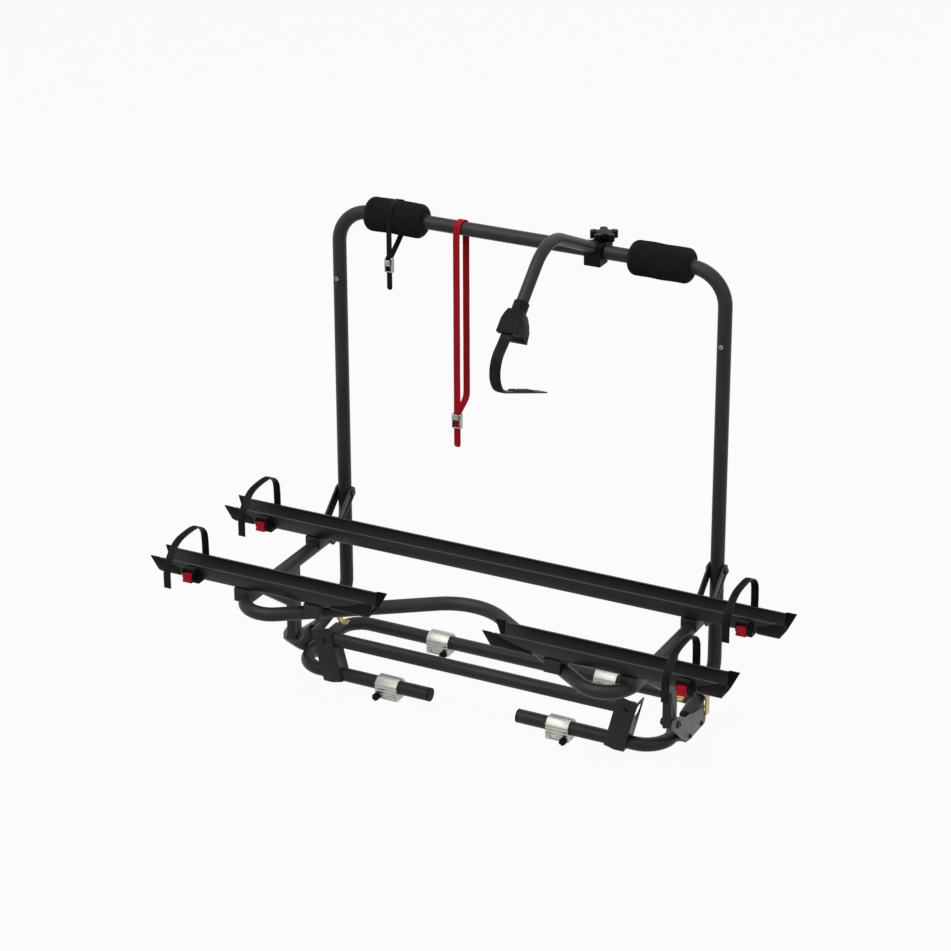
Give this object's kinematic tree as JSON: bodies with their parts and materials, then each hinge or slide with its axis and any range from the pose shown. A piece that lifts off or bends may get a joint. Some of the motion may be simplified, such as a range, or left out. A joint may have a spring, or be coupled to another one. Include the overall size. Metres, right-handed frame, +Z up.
{
  "type": "caravan drawbar bike rack",
  "caption": "Folding bicycle rack for a caravan drawbar: tube hoop with foam pads, wheel rails on a bent tube, frame arm, straps and drawbar clamps.",
  "frame": {"origin": "below the middle of the whole rack, level with the undersides of the drawbar clamps", "axes": "+X across the rack to the side with the frame arm, +Y towards the caravan, +Z up"},
  "size_m": [1.328, 0.5974, 1.1014],
  "materials": {
    "powder_coat": "satin",
    "rail_black": "satin",
    "cast_grey": "matte",
    "clamp_silver": "satin",
    "yellow_zinc": "satin",
    "black_bolt": "satin",
    "foam": "matte",
    "black_web": "matte",
    "red_web": "matte",
    "buckle_steel": "bright",
    "black_plastic": "satin",
    "strap_plastic": "satin",
    "red_plastic": "gloss"
  },
  "bodies": {
    "base": {"rear_base_tube": "powder_coat", "front_base_tube_left": "powder_coat", "front_base_tube_right": "powder_coat", "side_bracket_left": "cast_grey", "side_bracket_right": "cast_grey", "link_plates": "powder_coat", "cross_bar": "powder_coat", "base_bolts": "black_bolt", "base_tube_plugs": "black_plastic"},
    "rack": {"upper_hoop": "powder_coat", "lower_leg_left": "powder_coat", "lower_leg_right": "powder_coat", "platform_tube": "powder_coat", "gusset_plates": "powder_coat", "front_legs": "powder_coat", "foot_hooks": "yellow_zinc", "back_rail": "rail_black", "front_rail_left": "rail_black", "front_rail_right": "rail_black", "rail_end_caps": "black_plastic", "rail_brackets": "powder_coat", "rack_bolts": "black_bolt", "foam_pad_left": "foam", "foam_pad_right": "foam"},
    "front_left_clamp": {"front_left_clamp_front_jaw": "clamp_silver", "front_left_clamp_rear_jaw": "clamp_silver"},
    "front_left_clamp_knob": {"front_left_clamp_knob": "black_plastic"},
    "front_right_clamp": {"front_right_clamp_front_jaw": "clamp_silver", "front_right_clamp_rear_jaw": "clamp_silver"},
    "front_right_clamp_knob": {"front_right_clamp_knob": "black_plastic"},
    "rear_left_clamp": {"rear_left_clamp_front_jaw": "clamp_silver", "rear_left_clamp_rear_jaw": "clamp_silver"},
    "rear_left_clamp_knob": {"rear_left_clamp_knob": "black_plastic"},
    "rear_right_clamp": {"rear_right_clamp_front_jaw": "clamp_silver", "rear_right_clamp_rear_jaw": "clamp_silver"},
    "rear_right_clamp_knob": {"rear_right_clamp_knob": "black_plastic"},
    "pad_strap": {"pad_strap": "black_web", "pad_buckle": "buckle_steel"},
    "pad_cam": {"pad_cam": "buckle_steel"},
    "red_strap": {"red_strap": "red_web", "red_buckle": "buckle_steel"},
    "red_cam": {"red_cam": "buckle_steel"},
    "arm_liner": {"arm_liner": "black_plastic"},
    "frame_arm": {"arm_clamp": "black_plastic", "arm_tube": "powder_coat"},
    "star_knob": {"star_knob": "black_plastic"},
    "arm_head": {"arm_head": "black_plastic", "arm_strap": "strap_plastic"},
    "back_left_wheel_strap": {"back_left_wheel_strap": "strap_plastic", "back_left_wheel_buckle": "black_plastic"},
    "back_left_wheel_lever": {"back_left_wheel_lever": "red_plastic"},
    "back_right_wheel_strap": {"back_right_wheel_strap": "strap_plastic", "back_right_wheel_buckle": "black_plastic"},
    "back_right_wheel_lever": {"back_right_wheel_lever": "red_plastic"},
    "front_left_wheel_strap": {"front_left_wheel_strap": "strap_plastic", "front_left_wheel_buckle": "black_plastic"},
    "front_left_wheel_lever": {"front_left_wheel_lever": "red_plastic"},
    "front_right_wheel_strap": {"front_right_wheel_strap": "strap_plastic", "front_right_wheel_buckle": "black_plastic"},
    "front_right_wheel_lever": {"front_right_wheel_lever": "red_plastic"}
  },
  "joints": [
    {"name": "rack_tilt", "type": "hinge", "parent": "base", "child": "rack", "pos_m": [0, 0.0115, 0.088], "axis": [1, 0, 0], "range_deg": [0, 35]},
    {"name": "front_left_clamp_slide", "type": "slide", "parent": "base", "child": "front_left_clamp", "axis": [1, 0, 0], "range_m": [-0.07, 0.06]},
    {"name": "front_left_clamp_knob_turn", "type": "hinge", "parent": "front_left_clamp", "child": "front_left_clamp_knob", "pos_m": [-0.223, -0.0315, 0.0085], "axis": [0, -1, 0], "continuous": true},
    {"name": "front_right_clamp_slide", "type": "slide", "parent": "base", "child": "front_right_clamp", "axis": [1, 0, 0], "range_m": [-0.06, 0.07]},
    {"name": "front_right_clamp_knob_turn", "type": "hinge", "parent": "front_right_clamp", "child": "front_right_clamp_knob", "pos_m": [0.223, -0.0315, 0.0085], "axis": [0, -1, 0], "continuous": true},
    {"name": "rear_left_clamp_slide", "type": "slide", "parent": "base", "child": "rear_left_clamp", "axis": [1, 0, 0], "range_m": [-0.12, 0.15]},
    {"name": "rear_left_clamp_knob_turn", "type": "hinge", "parent": "rear_left_clamp", "child": "rear_left_clamp_knob", "pos_m": [-0.185, 0.2065, 0.0085], "axis": [0, -1, 0], "continuous": true},
    {"name": "rear_right_clamp_slide", "type": "slide", "parent": "base", "child": "rear_right_clamp", "axis": [1, 0, 0], "range_m": [-0.15, 0.12]},
    {"name": "rear_right_clamp_knob_turn", "type": "hinge", "parent": "rear_right_clamp", "child": "rear_right_clamp_knob", "pos_m": [0.185, 0.2065, 0.0085], "axis": [0, -1, 0], "continuous": true},
    {"name": "pad_strap_swing", "type": "hinge", "parent": "rack", "child": "pad_strap", "pos_m": [-0.306, 0.2465, 1], "axis": [1, 0, 0], "range_deg": [-25, 25]},
    {"name": "pad_cam_lift", "type": "hinge", "parent": "pad_strap", "child": "pad_cam", "pos_m": [-0.306, 0.2057, 0.90643], "axis": [1, 0, 0], "range_deg": [0, 75], "stiffness_Nm_per_rad": 0.01, "springref_deg": -11.46},
    {"name": "red_strap_swing", "type": "hinge", "parent": "rack", "child": "red_strap", "pos_m": [-0.156, 0.2465, 1], "axis": [1, 0, 0], "range_deg": [-25, 25]},
    {"name": "red_cam_lift", "type": "hinge", "parent": "red_strap", "child": "red_cam", "pos_m": [-0.156, 0.22375, 0.575], "axis": [1, 0, 0], "range_deg": [0, 75], "stiffness_Nm_per_rad": 0.01, "springref_deg": -11.46},
    {"name": "arm_slide", "type": "slide", "parent": "rack", "child": "arm_liner", "axis": [1, 0, 0], "range_m": [-0.27, 0.035]},
    {"name": "arm_swing", "type": "hinge", "parent": "arm_liner", "child": "frame_arm", "pos_m": [0.16, 0.2465, 1], "axis": [1, 0, 0], "range_deg": [-80, 60]},
    {"name": "star_knob_turn", "type": "hinge", "parent": "frame_arm", "child": "star_knob", "pos_m": [0.164, 0.271, 1.02], "axis": [0, 0, 1], "continuous": true},
    {"name": "head_turn", "type": "hinge", "parent": "frame_arm", "child": "arm_head", "pos_m": [0.16, -0.0935, 1.012], "axis": [0, -0.7366, -0.6764], "range_deg": [-150, 150]},
    {"name": "back_left_wheel_strap_slide", "type": "slide", "parent": "rack", "child": "back_left_wheel_strap", "axis": [1, 0, 0], "range_m": [-0.015, 0.072]},
    {"name": "back_left_wheel_lever_lift", "type": "hinge", "parent": "back_left_wheel_strap", "child": "back_left_wheel_lever", "pos_m": [-0.562, 0.0795, 0.305], "axis": [-1, 0, 0], "range_deg": [0, 25], "stiffness_Nm_per_rad": 0.05, "springref_deg": -5.73},
    {"name": "back_right_wheel_strap_slide", "type": "slide", "parent": "rack", "child": "back_right_wheel_strap", "axis": [1, 0, 0], "range_m": [-0.08, 0.004]},
    {"name": "back_right_wheel_lever_lift", "type": "hinge", "parent": "back_right_wheel_strap", "child": "back_right_wheel_lever", "pos_m": [0.574, 0.0795, 0.305], "axis": [-1, 0, 0], "range_deg": [0, 25], "stiffness_Nm_per_rad": 0.05, "springref_deg": -5.73},
    {"name": "front_left_wheel_strap_slide", "type": "slide", "parent": "rack", "child": "front_left_wheel_strap", "axis": [1, 0, 0], "range_m": [-0.015, 0.072]},
    {"name": "front_left_wheel_lever_lift", "type": "hinge", "parent": "front_left_wheel_strap", "child": "front_left_wheel_lever", "pos_m": [-0.562, -0.2225, 0.311], "axis": [-1, 0, 0], "range_deg": [0, 25], "stiffness_Nm_per_rad": 0.05, "springref_deg": -5.73},
    {"name": "front_right_wheel_strap_slide", "type": "slide", "parent": "rack", "child": "front_right_wheel_strap", "axis": [1, 0, 0], "range_m": [-0.08, 0.004]},
    {"name": "front_right_wheel_lever_lift", "type": "hinge", "parent": "front_right_wheel_strap", "child": "front_right_wheel_lever", "pos_m": [0.574, -0.2225, 0.311], "axis": [-1, 0, 0], "range_deg": [0, 25], "stiffness_Nm_per_rad": 0.05, "springref_deg": -5.73}
  ]
}
